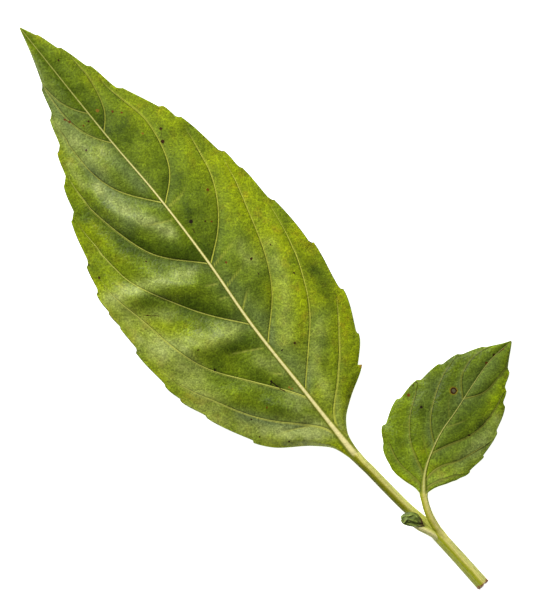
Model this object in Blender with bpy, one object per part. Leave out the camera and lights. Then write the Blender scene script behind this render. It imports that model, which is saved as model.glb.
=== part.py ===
"""A cut sprig of sweet basil, laid flat on a surface at z = 0 with its leaves' upper sides facing up.

A short four-ridged stem carries one large leaf, one small leaf and the stub of a side shoot, which
ends in two young leaves that are still folded. Each leaf is one loft: its rings run round the stalk,
and past the blade's base they open out into the blade, along the side veins from midrib to margin.

Units are metres, +Z is up, and the origin is under the middle of the sprig.
Stations along a leaf run from -1 at the foot of its stalk over 0 at the blade's base to 1 at its tip.
"""

import math

import bmesh
import bpy
import numpy as np
from mathutils import Matrix, Vector

MM = 0.001
COLLECTION = "basil_sprig"

# Leaves: what both blades share
BLADE_THICKNESS = 0.4 * MM
RIB_COLUMNS = 2
COLUMN_SHARES = (0.18, 0.42, 0.68, 0.9, 1.0)
VEIN_SWEEP = 1.8
ARCH_POWER = 2.0
RIM_POWER = 10
STALK_OPENS = (-0.12, 0.06)
RIB_RAISE = 0.35
STALK_ROWS = 8
FINE_ROWS = 301
ROW_ROOM = 0.35
TOOTH_SWELL = 1.6
FIRST_TOOTH_STARTS = 0.06
NOTCH_RUN = 0.4 * MM

# Large leaf: its spine runs up the stalk and along the midrib
LARGE_STALK = (
    (27.20, -35.30, 0.80),
    (25.66, -33.92, 0.80),
    (23.26, -32.00, 0.85),
    (21.02, -30.16, 1.15),
    (16.86, -26.00, 1.90),
    (14.14, -23.12, 2.30),
)
LARGE_MIDRIB = (
    (6.0, -12.9, 2.95),
    (-2.1, -2.7, 3.15),
    (-9.5, 7.9, 3.05),
    (-17.4, 18.2, 2.50),
    (-25.8, 28.1, 1.60),
    (-39.3, 44.9, 0.34),
)
LARGE_RIB_RADII = ((-1.0, 0.70), (-0.8, 0.78), (0.0, 0.80), (0.1, 0.55), (0.4, 0.38), (1.0, 0.12))
LARGE_LEFT = {
    "widths": (
        (0.0, 1.15), (0.03, 2.1), (0.055, 4.1), (0.1, 9.2), (0.133, 11.3), (0.225, 14.75), (0.3, 16.8),
        (0.385, 17.35), (0.48, 17.55), (0.58, 15.35), (0.672, 12.1), (0.78, 7.0), (0.837, 4.7),
        (0.889, 3.0), (0.95, 1.25), (1.0, 0.12),
    ),
    "veins": (
        (0.054, 0.37), (0.136, 0.60), (0.306, 0.70), (0.450, 0.79), (0.591, 0.86), (0.734, 0.93),
        (0.800, 0.96),
    ),
    "teeth": (
        (0.130, 0.3), (0.219, 0.25), (0.271, 0.25), (0.305, 0.2), (0.380, 0.4), (0.437, 0.15),
        (0.475, 0.2), (0.521, 0.35), (0.576, 0.45), (0.667, 0.75), (0.724, 0.6), (0.776, 0.6),
        (0.832, 0.5), (0.885, 0.3),
    ),
    "edge": ((0.0, 2.2), (0.08, 1.1), (0.2, 0.35), (0.35, 0.2), (0.5, 0.45), (0.65, 0.2), (1.0, 0.2)),
}
LARGE_RIGHT = {
    "widths": (
        (0.0, 0.75), (0.03, 1.1), (0.055, 2.2), (0.085, 4.8), (0.119, 8.9), (0.17, 12.3), (0.255, 14.7),
        (0.37, 15.15), (0.47, 13.9), (0.55, 13.05), (0.59, 12.3), (0.685, 10.5), (0.724, 9.4),
        (0.80, 6.15), (0.868, 4.55), (0.928, 2.7), (0.972, 1.25), (1.0, 0.12),
    ),
    "veins": ((0.068, 0.31), (0.146, 0.52), (0.268, 0.66), (0.440, 0.78), (0.576, 0.88), (0.757, 0.95)),
    "teeth": (
        (0.119, 0.75), (0.166, 0.35), (0.250, 0.35), (0.364, 0.45), (0.464, 0.35), (0.543, 0.25),
        (0.586, 0.35), (0.680, 0.35), (0.719, 0.35), (0.794, 0.4), (0.863, 0.3), (0.923, 0.25),
        (0.968, 0.15),
    ),
    "edge": ((0.0, 2.2), (0.08, 1.2), (0.2, 0.3), (0.32, 0.2), (0.45, 0.4), (0.6, 0.2), (1.0, 0.2)),
}
LARGE_ROWS = 44

# Small leaf
SMALL_STALK = (
    (27.66, -35.12, 2.30),
    (26.46, -33.36, 2.35),
    (25.82, -31.76, 2.30),
    (25.18, -29.52, 2.25),
)
SMALL_MIDRIB = (
    (25.35, -26.65, 2.10),
    (26.1, -23.9, 1.95),
    (27.8, -19.9, 1.75),
    (30.2, -16.3, 1.50),
    (33.5, -11.6, 1.05),
    (36.1, -8.1, 0.65),
    (39.3, -5.2, 0.34),
)
SMALL_RIB_RADII = ((-1.0, 0.50), (-0.5, 0.62), (0.0, 0.60), (0.15, 0.42), (0.5, 0.26), (1.0, 0.12))
SMALL_LEFT = {
    "widths": (
        (0.0, 0.75), (0.03, 1.6), (0.06, 3.1), (0.1, 5.1), (0.17, 7.4), (0.26, 8.5), (0.38, 8.4),
        (0.53, 7.5), (0.67, 5.95), (0.77, 4.3), (0.87, 2.1), (0.95, 0.75), (1.0, 0.12),
    ),
    "veins": ((0.032, 0.25), (0.105, 0.55), (0.286, 0.76), (0.584, 0.93)),
    "teeth": (
        (0.102, 0.15), (0.170, 0.12), (0.256, 0.35), (0.373, 0.4), (0.525, 0.4), (0.662, 0.35),
        (0.763, 0.35), (0.863, 0.2),
    ),
    "edge": ((0.0, 2.1), (0.12, 1.1), (0.3, 0.35), (0.5, 0.2), (0.7, 0.2), (1.0, 0.2)),
}
SMALL_RIGHT = {
    "widths": (
        (0.0, 0.75), (0.03, 2.1), (0.06, 3.9), (0.1, 5.2), (0.2, 6.7), (0.37, 7.75), (0.53, 7.2),
        (0.68, 5.75), (0.76, 4.6), (0.875, 3.0), (0.95, 1.35), (1.0, 0.12),
    ),
    "veins": ((0.018, 0.20), (0.068, 0.50), (0.225, 0.74), (0.589, 0.93)),
    "teeth": ((0.205, 0.15), (0.361, 0.2), (0.520, 0.25), (0.671, 0.4), (0.752, 0.3), (0.869, 0.4)),
    "edge": ((0.0, 2.1), (0.12, 1.2), (0.3, 0.4), (0.45, 0.2), (0.7, 0.25), (1.0, 0.2)),
}
SMALL_ROWS = 28

# Stem and side shoot
STEM_PATH = ((27.66, -35.82, 1.05), (29.42, -38.02, 1.02), (31.2, -40.05, 1.0), (34.75, -44.27, 1.0))
STEM_RADIUS = 1.0 * MM
STEM_RIDGE = 0.09
STEM_RIDGES = 4
NODE_SWELLING = 0.05
SWELLING_ENDS = 0.25
STEM_SIDES = 24
STEM_RINGS = 9
SHOOT_PATH = ((26.2, -36.05, 1.65), (25.35, -35.15, 1.95), (24.6, -34.75, 2.2))
SHOOT_RADII = (0.45 * MM, 0.60 * MM)
SHOOT_SIDES = 14
SHOOT_RINGS = 7

# Folded young leaves at the side shoot's end
BUD_SEGMENTS = 18
BUD_RINGS = 12
BUD_OUTER = {"at": (23.10, -33.95, 2.65), "half": (1.65, 0.60, 0.70), "turn": -14.0, "lean": 14.0}
BUD_INNER = {"at": (23.15, -32.75, 3.15), "half": (1.40, 0.38, 0.50), "turn": -12.0, "lean": 20.0}
BUD_CREASE = 0.16
BUD_CREASES = 3

COLOURS = {
    "stem": (0.26, 0.32, 0.08),
    "large_leaf": (0.13, 0.23, 0.03),
    "small_leaf": (0.11, 0.20, 0.03),
    "side_shoot": (0.42, 0.43, 0.18),
    "bud_leaf_outer": (0.07, 0.13, 0.03),
    "bud_leaf_inner": (0.09, 0.16, 0.03),
}
LEAF_ROUGHNESS = 0.45
STEM_ROUGHNESS = 0.5
SHARP_ANGLE = math.radians(50)


def clear_scene():
    for obj in list(bpy.data.objects):
        bpy.data.objects.remove(obj, do_unlink=True)


def part_collection():
    collection = bpy.data.collections.new(COLLECTION)
    bpy.context.scene.collection.children.link(collection)
    return collection


def material(name, roughness):
    made = bpy.data.materials.new(name)
    made.use_nodes = True
    shader = made.node_tree.nodes["Principled BSDF"]
    shader.inputs["Base Color"].default_value = (*COLOURS[name], 1.0)
    shader.inputs["Roughness"].default_value = roughness
    shader.inputs["Metallic"].default_value = 0.0
    return made


def through(pairs, x):
    """A smooth value at x, through (x, value) pairs, that never overshoots them."""
    xs, ys = (np.array(column, float) for column in zip(*pairs))
    x = float(np.clip(x, xs[0], xs[-1]))
    slopes = np.diff(ys) / np.diff(xs)
    tangents = np.zeros(len(xs))
    for i in range(1, len(xs) - 1):
        if slopes[i - 1] * slopes[i] > 0:
            tangents[i] = 2 * slopes[i - 1] * slopes[i] / (slopes[i - 1] + slopes[i])
    tangents[0] = slopes[0]
    tangents[-1] = slopes[-1]
    i = min(int(np.searchsorted(xs, x, side="right")) - 1, len(xs) - 2)
    width = xs[i + 1] - xs[i]
    t = (x - xs[i]) / width
    return (
        ys[i] * (2 * t**3 - 3 * t**2 + 1)
        + tangents[i] * width * (t**3 - 2 * t**2 + t)
        + ys[i + 1] * (3 * t**2 - 2 * t**3)
        + tangents[i + 1] * width * (t**3 - t**2)
    )


def smooth_step(low, high, x):
    t = min(max((x - low) / (high - low), 0.0), 1.0)
    return t * t * (3 - 2 * t)


class Path:
    """A smooth curve through points given in millimetres, read by its length in metres."""

    STEPS = 40

    def __init__(self, points):
        knots = np.array(points, float) * MM
        knots = np.vstack([2 * knots[0] - knots[1], knots, 2 * knots[-1] - knots[-2]])
        dense = []
        for a, b, c, d in zip(knots, knots[1:], knots[2:], knots[3:]):
            for t in np.linspace(0, 1, self.STEPS, endpoint=False):
                curve = 2 * b + (c - a) * t + (2 * a - 5 * b + 4 * c - d) * t**2
                dense.append((curve + (3 * b - a - 3 * c + d) * t**3) / 2)
        dense.append(knots[-2])
        self.points = np.array(dense)
        steps = np.linalg.norm(np.diff(self.points, axis=0), axis=1)
        self.lengths = np.concatenate([[0], np.cumsum(steps)])
        self.total = self.lengths[-1]

    def at(self, length):
        return np.array([np.interp(length, self.lengths, column) for column in self.points.T])

    def direction(self, length):
        reach = self.total / 200
        step = self.at(min(length + reach, self.total)) - self.at(max(length - reach, 0))
        return step / np.linalg.norm(step)


class Leaf:
    """The shape of one leaf: places on its surface by station and by side, 1 for left and -1 for right."""

    def __init__(self, stalk, midrib, rib_radii, left, right):
        self.spine = Path(stalk + midrib)
        base = np.array(stalk[-1]) * MM
        nearest = np.linalg.norm(self.spine.points - base, axis=1).argmin()
        self.stalk_length = self.spine.lengths[nearest]
        self.blade_length = self.spine.total - self.stalk_length
        self.rib_radii = rib_radii
        self.sides = {1: left, -1: right}

    def length(self, station):
        if station < 0:
            return self.stalk_length * (1 + station)
        return self.stalk_length + self.blade_length * station

    def rib_radius(self, station):
        return through(self.rib_radii, station) * MM

    def margin_station(self, side, station):
        """Where on the margin the row ends that leaves the midrib at this station."""
        pairs = ((0.0, 0.0), *self.sides[side]["veins"], (1.0, 1.0))
        return float(np.interp(station, *zip(*pairs)))

    def midrib_station(self, side, station):
        pairs = ((0.0, 0.0), *self.sides[side]["veins"], (1.0, 1.0))
        starts, ends = zip(*pairs)
        return float(np.interp(station, ends, starts))

    def notch(self):
        """How much of the blade's length the drop behind a tooth takes."""
        return NOTCH_RUN / self.blade_length

    def tooth_offset(self, side, station):
        """The margin swells towards each tooth's tip and drops back just past it."""
        before = FIRST_TOOTH_STARTS
        for tip, depth in self.sides[side]["teeth"]:
            if station <= before:
                return 0.0
            if station <= tip:
                return depth * MM * ((station - before) / (tip - before)) ** TOOTH_SWELL
            if station < tip + self.notch():
                return depth * MM * (1 - (station - tip) / self.notch())
            before = tip + self.notch()
        return 0.0

    def half_width(self, side, station):
        width = through(self.sides[side]["widths"], max(station, 0.0)) * MM
        return width + self.tooth_offset(side, station)

    def place(self, side, station, offset, share):
        """The middle of the leaf's thickness at this distance from the spine, a share of the way out."""
        length = self.length(station)
        centre = self.spine.at(length)
        ahead = self.spine.direction(length)
        across = np.array([-ahead[1], ahead[0], 0]) / math.hypot(ahead[0], ahead[1])
        point = centre + side * offset * across
        if station > 0:
            edge = through(self.sides[side]["edge"], station) * MM
            point[2] = edge + (centre[2] - edge) * (1 - share**ARCH_POWER)
        return point

    def column(self, side, row, number):
        """The upper and the lower point of one column of a row, number 0 on the spine."""
        last = RIB_COLUMNS + len(COLUMN_SHARES)
        share = COLUMN_SHARES[number - RIB_COLUMNS - 1] if number > RIB_COLUMNS else 0.0
        station = row
        if row > 0:
            station = row + (self.margin_station(side, row) - row) * share**VEIN_SWEEP
        rib = self.rib_radius(station)
        angle = number / last * math.pi / 2
        open_share = smooth_step(*STALK_OPENS, station)
        if number > RIB_COLUMNS:
            width = max(self.half_width(side, station), rib)
            offset = rib + (width - rib) * share
            rise = drop = BLADE_THICKNESS / 2 * (1 - share**RIM_POWER)
        else:
            offset = rib * number / RIB_COLUMNS
            round_part = math.sqrt(1 - (number / RIB_COLUMNS) ** 2)
            rise = BLADE_THICKNESS / 2 + rib * RIB_RAISE * round_part
            drop = BLADE_THICKNESS / 2 + rib * round_part
        offset += (rib * math.sin(angle) - offset) * (1 - open_share)
        rise += (rib * math.cos(angle) - rise) * (1 - open_share)
        drop += (rib * math.cos(angle) - drop) * (1 - open_share)
        middle = self.place(side, station, offset, share * open_share)
        up = np.array([0, 0, 1.0])
        return middle + up * rise, middle - up * drop

    def ring(self, row):
        """The closed ring of one row: over the top from left to right, and back underneath."""
        last = RIB_COLUMNS + len(COLUMN_SHARES)
        left = [self.column(1, row, number) for number in range(last, -1, -1)]
        right = [self.column(-1, row, number) for number in range(1, last + 1)]
        pairs = left + right
        return [top for top, _ in pairs] + [bottom for _, bottom in pairs[-2:0:-1]]

    def rows(self, count):
        """Stalk rows, then blade rows spread evenly over midrib and margins, with two at each tooth."""
        fine = np.linspace(0, 1, FINE_ROWS)
        travel = np.zeros(FINE_ROWS)
        for side in (0, 1, -1):
            edge = np.array([self.row_end(side, row) for row in fine])
            travel[1:] += np.cumsum(np.linalg.norm(np.diff(edge, axis=0), axis=1))
        even = np.interp(np.linspace(0, travel[-1], count), travel, fine)
        kept = [0.0, 1.0]
        for side, shape in self.sides.items():
            for tip, _ in shape["teeth"]:
                kept.append(self.midrib_station(side, tip))
                kept.append(self.midrib_station(side, tip + self.notch()))
        room = ROW_ROOM / count
        spaced = [row for row in even if min(abs(row - other) for other in kept) > room]
        stalk = np.linspace(-1, 0, STALK_ROWS, endpoint=False)
        return [*stalk, *sorted(kept + spaced)]

    def row_end(self, side, row):
        """Where a row meets the margin, or where it leaves the spine for side 0."""
        if side == 0:
            return self.spine.at(self.length(row))
        station = self.margin_station(side, row)
        return self.place(side, station, self.half_width(side, station), 1.0)


def loft(name, rings, collection, roughness):
    """One closed mesh through rings of equal count, with a cap at each end."""
    mesh = bmesh.new()
    corners = [[mesh.verts.new(point) for point in ring] for ring in rings]
    for ring, following in zip(corners, corners[1:]):
        for i, corner in enumerate(ring):
            after = (i + 1) % len(ring)
            mesh.faces.new((corner, ring[after], following[after], following[i]))
    mesh.faces.new(corners[0])
    mesh.faces.new(corners[-1])
    bmesh.ops.recalc_face_normals(mesh, faces=mesh.faces)
    return add_object(name, mesh, collection, roughness)


def add_object(name, mesh, collection, roughness):
    data = bpy.data.meshes.new(name)
    mesh.to_mesh(data)
    mesh.free()
    data.shade_smooth()
    data.set_sharp_from_angle(angle=SHARP_ANGLE)
    data.materials.append(material(name, roughness))
    obj = bpy.data.objects.new(name, data)
    collection.objects.link(obj)
    return obj


def tube_rings(path, radius_at, sides, rings):
    """Rings round a path; radius_at takes the share of the way along and the angle from straight up."""
    made = []
    for along in np.linspace(0, 1, rings):
        centre = Vector(path.at(along * path.total))
        ahead = Vector(path.direction(along * path.total))
        across = ahead.cross(Vector((0, 0, 1))).normalized()
        up = across.cross(ahead)
        ring = []
        for i in range(sides):
            angle = 2 * math.pi * i / sides
            reach = float(radius_at(along, angle))
            ring.append(centre + reach * (math.cos(angle) * up + math.sin(angle) * across))
        made.append(ring)
    return made


def stem_radius(along, angle):
    """Four ridges, one of them on top, and a slight swelling towards the node at the start."""
    swelling = 1 + NODE_SWELLING * (1 - smooth_step(0.0, SWELLING_ENDS, along))
    ridges = (1 + STEM_RIDGE * math.cos(STEM_RIDGES * angle)) / (1 + STEM_RIDGE)
    return STEM_RADIUS * swelling * ridges


def shoot_radius(along, _angle):
    low, high = SHOOT_RADII
    return low + (high - low) * along


def make_stem(collection):
    rings = tube_rings(Path(STEM_PATH), stem_radius, STEM_SIDES, STEM_RINGS)
    loft("stem", rings, collection, STEM_ROUGHNESS)


def make_side_shoot(collection):
    rings = tube_rings(Path(SHOOT_PATH), shoot_radius, SHOOT_SIDES, SHOOT_RINGS)
    loft("side_shoot", rings, collection, STEM_ROUGHNESS)


def make_leaf(name, leaf, rows, collection):
    rings = [leaf.ring(row) for row in leaf.rows(rows)]
    loft(name, rings, collection, LEAF_ROUGHNESS)


def make_bud_leaf(name, shape, collection):
    """A young leaf folded on itself: a long drop with lengthwise creases."""
    mesh = bmesh.new()
    bmesh.ops.create_uvsphere(mesh, u_segments=BUD_SEGMENTS, v_segments=BUD_RINGS, radius=1.0)
    bmesh.ops.rotate(mesh, verts=mesh.verts, matrix=Matrix.Rotation(math.pi / 2, 3, "Y"))
    for corner in mesh.verts:
        angle = math.atan2(corner.co.z, corner.co.y)
        crease = 1 + BUD_CREASE * (math.cos(BUD_CREASES * angle) - 1) / 2
        corner.co.y *= crease
        corner.co.z *= crease
    turn = Matrix.Rotation(math.radians(shape["turn"]), 4, "Z")
    lean = Matrix.Rotation(math.radians(shape["lean"]), 4, "X")
    size = Matrix.Diagonal((*(half * MM for half in shape["half"]), 1.0))
    place = Matrix.Translation(Vector(shape["at"]) * MM)
    bmesh.ops.transform(mesh, matrix=place @ turn @ lean @ size, verts=mesh.verts)
    add_object(name, mesh, collection, LEAF_ROUGHNESS)


def main():
    clear_scene()
    collection = part_collection()
    large = Leaf(LARGE_STALK, LARGE_MIDRIB, LARGE_RIB_RADII, LARGE_LEFT, LARGE_RIGHT)
    small = Leaf(SMALL_STALK, SMALL_MIDRIB, SMALL_RIB_RADII, SMALL_LEFT, SMALL_RIGHT)
    make_stem(collection)
    make_leaf("large_leaf", large, LARGE_ROWS, collection)
    make_leaf("small_leaf", small, SMALL_ROWS, collection)
    make_side_shoot(collection)
    make_bud_leaf("bud_leaf_outer", BUD_OUTER, collection)
    make_bud_leaf("bud_leaf_inner", BUD_INNER, collection)


main()
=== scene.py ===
"""Looks of the cut basil sprig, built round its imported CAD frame.

Tables are in millimetres and in stations along a leaf: -1 at the foot of the stalk, 0 at the blade's
base, 1 at its tip. A share runs from 0 at the midrib to 1 at the margin. Left and right are seen from
above, looking towards the tip. Meshes are in metres, +Z up, and the sprig lies on the plane z = 0.
"""

import math

import bpy
import numpy as np
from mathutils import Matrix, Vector, noise

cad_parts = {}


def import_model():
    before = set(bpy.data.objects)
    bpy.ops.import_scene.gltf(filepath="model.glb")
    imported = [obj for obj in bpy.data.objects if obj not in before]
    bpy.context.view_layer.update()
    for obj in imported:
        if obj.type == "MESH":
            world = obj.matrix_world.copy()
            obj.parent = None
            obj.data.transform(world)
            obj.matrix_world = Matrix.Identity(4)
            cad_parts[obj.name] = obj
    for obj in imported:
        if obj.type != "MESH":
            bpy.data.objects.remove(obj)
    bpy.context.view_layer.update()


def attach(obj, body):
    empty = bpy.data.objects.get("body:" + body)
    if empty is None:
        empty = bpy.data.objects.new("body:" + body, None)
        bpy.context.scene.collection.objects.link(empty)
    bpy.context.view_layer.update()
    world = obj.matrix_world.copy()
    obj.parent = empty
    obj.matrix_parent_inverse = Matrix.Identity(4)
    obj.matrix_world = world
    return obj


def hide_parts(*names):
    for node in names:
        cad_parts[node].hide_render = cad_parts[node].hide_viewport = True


MM = 0.001
UP = np.array([0.0, 0.0, 1.0])

# ---------------------------------------------------------------- shape of both leaves
BLADE_THICKNESS = 0.36 * MM
LOWEST = 0.02 * MM  # no underside comes nearer to the ground
RIM_POWER = 10  # how suddenly the blade thins at its margin
ARCH_POWER = 2.0  # how the blade bends down from its midrib to its margin
STALK_OPENS = (-0.12, 0.06)  # stations between which the round stalk opens into the blade
STALK_RIBS = ((10, 0.035, 0.0), (17, 0.02, 1.0))  # count, depth as a share of the radius, turn
RIB_SHARES = (0.0, 0.25, 0.5, 0.75, 1.0)  # columns over half of the midrib
FINE_ROWS = 2001  # rows that the margins are measured on
FIRST_TOOTH_STARTS = 0.06
TOOTH_SWELL = 1.6  # how late the margin swells towards a tooth's tip
TOOTH_REACH = 7  # power of the share by which a tooth moves the blade inside the margin
NOTCH_RUN = 0.4 * MM  # how soon the margin has dropped back behind a tooth
VEIN_SHARES = (0.0, 0.35, 0.65, 0.9, 1.0)  # where the stations of a side vein are given
VEIN_STEPS = 40
VEIN_FADES = (0.80, 0.98)  # how far along it a side vein sinks into the blade
FAR = 4.0  # the gap where there is no vein or cut near

# ---------------------------------------------------------------- relief of a blade
# Reaches, radii and heights are in millimetres. Valleys, tapers and RIB_RISE are shares.
CREASE_REACH = 1.2  # the blade drops steeply into a vein from its tipward side
SWELL_REACH = 2.1  # and swells up slowly on its basal side
RIB_REACH = 1.0  # and swells up from the midrib too
VEIN_RIDGE = 0.03
VEIN_KEEL = 0.16
VEIN_RADIUS = 0.13
VEIN_TAPER = 0.35
VEIN_THINNEST = 0.02  # a share of its full width
MINOR_RADIUS = 0.10
MINOR_KEEL = 0.064
MINOR_VALLEY = 0.35
MINOR_REACH = 0.7
RIB_RISE = 0.45
RIPPLES = ((0.28, 0.30, 0.0), (0.75, 0.12, 3.7))  # waves in a millimetre, height, seed

# A leaf has (x, y, height) along its stalk and midrib and (station, radius) of the midrib. Each side has
# (station, width) of the blade, (station, depth) of the teeth, (station, height) of the margin, a row of
# stations and a depth for each side vein, (station, share) along the minor veins, and how far the blade
# swells between veins. A fold has its height and reach, and then its crest.
LARGE = {
    "stalk": (
        (27.7, -36.25, 0.7), (26.75, -35.32, 0.85), (25.38, -34.15, 0.8), (23.04, -32.22, 0.85),
        (20.95, -30.22, 1.15), (16.86, -26.0, 1.9), (14.14, -23.12, 2.3),
    ),
    "midrib": (
        (6.0, -12.9, 2.65), (-2.1, -2.7, 2.9), (-9.5, 7.9, 2.95), (-17.4, 18.2, 2.5), (-25.8, 28.1, 1.6),
        (-39.3, 44.9, 0.34),
    ),
    "rib": (
        (-1.0, 0.62), (-0.9, 0.82), (-0.5, 0.84), (0.0, 0.82), (0.1, 0.48), (0.4, 0.3), (0.8, 0.13),
        (1.0, 0.06),
    ),
    "left": {
        "widths": (
            (0.0, 1.15), (0.03, 2.1), (0.055, 4.1), (0.1, 9.2), (0.133, 11.3), (0.225, 14.75), (0.3, 16.8),
            (0.385, 17.35), (0.48, 17.55), (0.58, 15.35), (0.672, 12.1), (0.78, 7.0), (0.837, 4.7),
            (0.889, 3.0), (0.95, 1.25), (1.0, 0.12),
        ),
        "teeth": (
            (0.13, 0.38), (0.219, 0.31), (0.271, 0.31), (0.305, 0.25), (0.38, 0.5), (0.437, 0.19),
            (0.475, 0.25), (0.521, 0.44), (0.576, 0.56), (0.667, 0.94), (0.724, 0.75), (0.776, 0.75),
            (0.832, 0.62), (0.885, 0.38),
        ),
        "edge": ((0.0, 2.2), (0.08, 1.1), (0.2, 0.35), (0.35, 0.2), (0.5, 0.45), (0.65, 0.2), (1.0, 0.2)),
        "veins": (
            (0.054, 0.101, 0.157, 0.3, 0.37), (0.136, 0.217, 0.313, 0.515, 0.6),
            (0.306, 0.383, 0.486, 0.625, 0.7), (0.441, 0.512, 0.622, 0.725, 0.79),
            (0.582, 0.656, 0.742, 0.815, 0.86), (0.726, 0.775, 0.828, 0.885, 0.93),
            (0.796, 0.826, 0.855, 0.89, 0.92),
        ),
        "relief": (0.25, 0.35, 0.85, 1.0, 0.9, 0.5, 0.35),
        "minor_veins": (
            ((0.545, 0.02), (0.556, 0.15), (0.568, 0.28), (0.582, 0.36)), ((0.4, 0.02), (0.413, 0.17)),
            ((0.371, 0.02), (0.376, 0.12)), ((0.258, 0.04), (0.266, 0.13), (0.28, 0.28), (0.285, 0.38)),
            ((0.198, 0.05), (0.213, 0.16)), ((0.092, 0.33), (0.106, 0.55), (0.119, 0.84)),
        ),
        "swell": 1.0,
    },
    "right": {
        "widths": (
            (0.0, 0.75), (0.03, 1.1), (0.055, 2.2), (0.085, 4.8), (0.119, 8.9), (0.17, 12.3), (0.255, 14.7),
            (0.37, 15.15), (0.47, 13.9), (0.55, 13.05), (0.59, 12.3), (0.685, 10.5), (0.724, 9.4),
            (0.8, 6.15), (0.868, 4.55), (0.928, 2.7), (0.972, 1.25), (1.0, 0.12),
        ),
        "teeth": (
            (0.119, 0.94), (0.166, 0.44), (0.25, 0.44), (0.364, 0.56), (0.464, 0.44), (0.543, 0.31),
            (0.586, 0.44), (0.68, 0.44), (0.719, 0.44), (0.794, 0.5), (0.863, 0.38), (0.923, 0.31),
            (0.968, 0.19),
        ),
        "edge": ((0.0, 2.2), (0.08, 1.2), (0.2, 0.3), (0.32, 0.2), (0.45, 0.4), (0.6, 0.2), (1.0, 0.2)),
        "veins": (
            (0.06, 0.091, 0.154, 0.244, 0.31), (0.148, 0.206, 0.278, 0.437, 0.52),
            (0.258, 0.326, 0.444, 0.56, 0.62), (0.438, 0.488, 0.556, 0.65, 0.7),
            (0.576, 0.621, 0.71, 0.835, 0.88), (0.751, 0.784, 0.832, 0.895, 0.92),
        ),
        "relief": (0.5, 0.7, 1.0, 1.0, 0.9, 0.6),
        "minor_veins": (
            ((0.569, 0.0), (0.57, 0.18), (0.58, 0.4)), ((0.432, 0.0), (0.441, 0.23), (0.448, 0.42)),
            ((0.388, 0.0), (0.399, 0.21), (0.405, 0.33)), ((0.336, 0.0), (0.357, 0.14), (0.366, 0.22)),
        ),
        "swell": 0.75,
    },
    "folds": (
        (0.85, 1.7, (-26.5, 0.2), (-17.0, 2.8), (-5.2, 4.4)),
        (0.9, 2.2, (-19.5, -9.0), (-10.5, -6.3), (-2.0, -3.6)),
        (0.35, 1.8, (-31.0, 22.8), (-24.9, 23.0), (-21.7, 21.4)),
        (0.55, 1.7, (-28.0, 16.8), (-22.0, 14.2), (-15.5, 13.2)),
        (0.55, 2.0, (0.7, 19.0), (5.2, 11.0), (6.8, -1.8)),
        (0.5, 1.4, (-1.0, -15.0), (4.0, -16.0), (8.5, -17.5)),
        (0.4, 2.2, (-15.0, -15.0), (-6.0, -14.0), (1.0, -12.5)),
    ),
    "stalk_rows": 46,
    "blade_rows": 380,
    "columns": 52,
}
SMALL = {
    "stalk": (
        (30.0, -38.35, 1.05), (28.95, -37.0, 1.25), (28.15, -36.05, 1.5), (27.4, -35.15, 1.75),
        (26.33, -33.36, 2.1), (25.74, -31.92, 2.2), (25.38, -30.6, 2.2), (25.22, -29.4, 2.2),
    ),
    "midrib": (
        (25.35, -26.65, 1.95), (26.1, -23.9, 1.65), (27.95, -19.9, 1.35), (30.45, -16.3, 1.1),
        (33.5, -11.6, 0.8), (36.1, -8.1, 0.55), (39.3, -5.2, 0.34),
    ),
    "rib": (
        (-1.0, 0.35), (-0.85, 0.53), (-0.65, 0.62), (-0.4, 0.61), (0.0, 0.54), (0.1, 0.32), (0.2, 0.2),
        (0.4, 0.12), (0.6, 0.08), (1.0, 0.05),
    ),
    "left": {
        "widths": (
            (0.0, 0.75), (0.03, 1.6), (0.06, 3.1), (0.1, 5.1), (0.17, 7.4), (0.26, 8.5), (0.38, 8.4),
            (0.53, 7.5), (0.67, 5.95), (0.77, 4.3), (0.87, 2.1), (0.95, 0.75), (1.0, 0.12),
        ),
        "teeth": (
            (0.102, 0.17), (0.17, 0.14), (0.256, 0.4), (0.373, 0.46), (0.525, 0.46), (0.662, 0.4),
            (0.763, 0.4), (0.863, 0.23),
        ),
        "edge": ((0.0, 2.1), (0.12, 1.1), (0.3, 0.6), (0.5, 0.5), (0.7, 0.35), (1.0, 0.2)),
        "veins": (
            (0.032, 0.08, 0.125, 0.205, 0.25), (0.105, 0.205, 0.34, 0.48, 0.55),
            (0.278, 0.402, 0.576, 0.72, 0.78), (0.574, 0.667, 0.787, 0.885, 0.93),
        ),
        "relief": (0.6, 0.9, 0.9, 0.6),
        "minor_veins": (
            ((0.205, 0.03), (0.27, 0.2), (0.33, 0.36)), ((0.45, 0.03), (0.51, 0.2), (0.57, 0.32)),
        ),
        "swell": 0.6,
    },
    "right": {
        "widths": (
            (0.0, 0.75), (0.03, 2.1), (0.06, 3.9), (0.1, 5.2), (0.2, 6.7), (0.37, 7.75), (0.53, 7.2),
            (0.68, 5.75), (0.76, 4.6), (0.875, 3.0), (0.95, 1.35), (1.0, 0.12),
        ),
        "teeth": ((0.205, 0.17), (0.361, 0.23), (0.52, 0.29), (0.671, 0.46), (0.752, 0.34), (0.869, 0.46)),
        "edge": ((0.0, 2.1), (0.12, 1.2), (0.3, 0.4), (0.45, 0.25), (0.7, 0.25), (1.0, 0.2)),
        "veins": (
            (0.018, 0.052, 0.095, 0.165, 0.2), (0.068, 0.18, 0.255, 0.44, 0.5),
            (0.225, 0.345, 0.5, 0.715, 0.78), (0.581, 0.665, 0.79, 0.9, 0.94),
        ),
        "relief": (0.5, 0.8, 1.0, 0.8),
        "minor_veins": (((0.4, 0.03), (0.46, 0.2), (0.53, 0.36)),),
        "swell": 0.7,
    },
    "folds": ((0.2, 1.2, (24.5, -16.0), (25.5, -20.0), (26.0, -23.5)),),
    "stalk_rows": 40,
    "blade_rows": 230,
    "columns": 40,
}

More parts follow.
